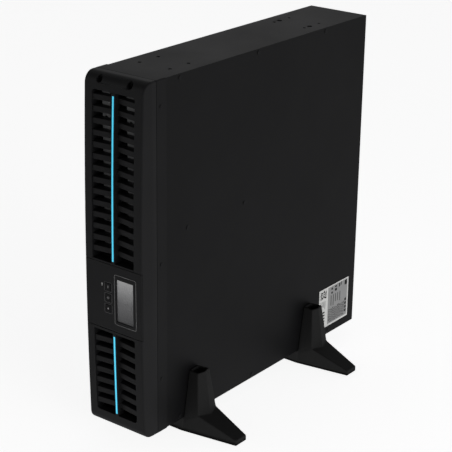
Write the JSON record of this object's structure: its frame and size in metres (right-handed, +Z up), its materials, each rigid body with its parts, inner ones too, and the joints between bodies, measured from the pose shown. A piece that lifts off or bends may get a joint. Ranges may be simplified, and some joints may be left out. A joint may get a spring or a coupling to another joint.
{
  "type": "uninterruptible power supply",
  "caption": "Slim rack or tower power backup unit standing on edge in two splayed feet, with vented bowed bezel, display panel, slide-out battery pack and rear fans.",
  "frame": {"origin": "on the floor, under the middle of the object's box", "axes": "+Z up, X across the narrow width, the bezel faces -Y and the sockets face +Y"},
  "size_m": [0.2386, 0.4566, 0.4572],
  "materials": {
    "case_paint": "satin black powder coat",
    "bezel_plastic": "fine spark-eroded black moulding",
    "inner_plastic": "black moulding",
    "stand_plastic": "black moulding",
    "pad_rubber": "soft pad",
    "light_lens": "translucent cyan lens",
    "dark_screw": "black zinc",
    "plated_steel": "bright zinc plate",
    "guard_wire": "plated wire",
    "board": "solder resist",
    "brass_metal": "plain",
    "sink_aluminium": "extruded",
    "semiconductor": "moulded epoxy",
    "capacitor_sleeve": "shrink sleeve",
    "winding": "enamelled wire",
    "battery_case": "moulded case",
    "lead_plate": "lead grid and paste",
    "connector": "moulded housing",
    "strap": "moulded handle",
    "port_shell": "plated shell",
    "lcd_face": "unlit display",
    "window": "clear hard-coated window",
    "key_cap": "printed key cap",
    "reset_button": "black button",
    "light_pipe": "clear light pipe",
    "label": "printed film"
  },
  "bodies": {
    "chassis": {"base_tray": "case_paint", "side_cover": "case_paint", "case_screws": "dark_screw", "rear_panel": "case_paint", "bay_divider": "case_paint", "pack_stop": "plated_steel", "bezel_ring": "bezel_plastic", "main_board": "board", "board_standoffs": "brass_metal", "rectifier_heatsink": "sink_aluminium", "inverter_heatsink": "sink_aluminium", "power_transistors": "semiconductor", "bus_capacitors": "capacitor_sleeve", "boost_choke": "winding", "output_choke": "winding", "auxiliary_transformer": "winding", "output_relays": "semiconductor", "control_board": "board", "mains_filter": "plated_steel", "fan_frames": "inner_plastic", "fan_guards": "guard_wire", "mains_inlet": "inner_plastic", "inlet_pins": "brass_metal", "output_sockets": "inner_plastic", "breaker_body": "inner_plastic", "signal_ports": "port_shell", "option_slot_cover": "case_paint", "external_battery_socket": "connector", "pack_receptacle": "connector", "front_stand_left": "stand_plastic", "front_stand_right": "stand_plastic", "rear_stand_left": "stand_plastic", "rear_stand_right": "stand_plastic", "stand_ties": "stand_plastic", "stand_pads": "pad_rubber", "rating_label": "label"},
    "battery_pack": {"battery_tray": "plated_steel", "battery_cases": "battery_case", "battery_plates": "lead_plate", "battery_terminals": "brass_metal", "battery_plug": "connector", "pack_handle": "strap"},
    "front_bezel": {"front_bezel": "bezel_plastic", "vent_grilles": "bezel_plastic", "lower_light_strip": "light_lens", "upper_light_strip": "light_lens", "vent_straps": "plated_steel", "front_bezel_screws": "dark_screw"},
    "display_module": {"display_plate": "bezel_plastic", "display_housing": "inner_plastic", "lcd_panel": "lcd_face", "display_window": "window", "display_board": "board", "status_light_pipe": "light_pipe"},
    "power_key": {"power_key": "key_cap"},
    "scroll_key": {"scroll_key": "key_cap"},
    "enter_key": {"enter_key": "key_cap"},
    "lower_fan_rotor": {"lower_fan_rotor": "inner_plastic"},
    "upper_fan_rotor": {"upper_fan_rotor": "inner_plastic"},
    "breaker_button": {"breaker_button": "reset_button"}
  },
  "joints": [
    {"name": "battery_pack_slide", "type": "slide", "parent": "chassis", "child": "battery_pack", "axis": [0, -1, 0], "range_m": [0, 0.3]},
    {"name": "front_bezel_release", "type": "slide", "parent": "battery_pack", "child": "front_bezel", "axis": [0, -1, 0], "range_m": [0, 0.06]},
    {"name": "display_module_release", "type": "slide", "parent": "front_bezel", "child": "display_module", "axis": [0, -1, 0], "range_m": [0, 0.04]},
    {"name": "power_key_press", "type": "slide", "parent": "display_module", "child": "power_key", "axis": [0, 1, 0], "range_m": [0, 0.0008], "stiffness_N_per_m": 500, "springref_m": -0.0004},
    {"name": "scroll_key_press", "type": "slide", "parent": "display_module", "child": "scroll_key", "axis": [0, 1, 0], "range_m": [0, 0.0008], "stiffness_N_per_m": 500, "springref_m": -0.0004},
    {"name": "enter_key_press", "type": "slide", "parent": "display_module", "child": "enter_key", "axis": [0, 1, 0], "range_m": [0, 0.0008], "stiffness_N_per_m": 500, "springref_m": -0.0004},
    {"name": "lower_fan_spin", "type": "hinge", "parent": "chassis", "child": "lower_fan_rotor", "pos_m": [0, 0.208, 0.0664], "axis": [0, 1, 0], "continuous": true},
    {"name": "upper_fan_spin", "type": "hinge", "parent": "chassis", "child": "upper_fan_rotor", "pos_m": [0, 0.208, 0.1504], "axis": [0, 1, 0], "continuous": true},
    {"name": "breaker_button_trip", "type": "slide", "parent": "chassis", "child": "breaker_button", "axis": [0, 1, 0], "range_m": [0, 0.004]}
  ]
}
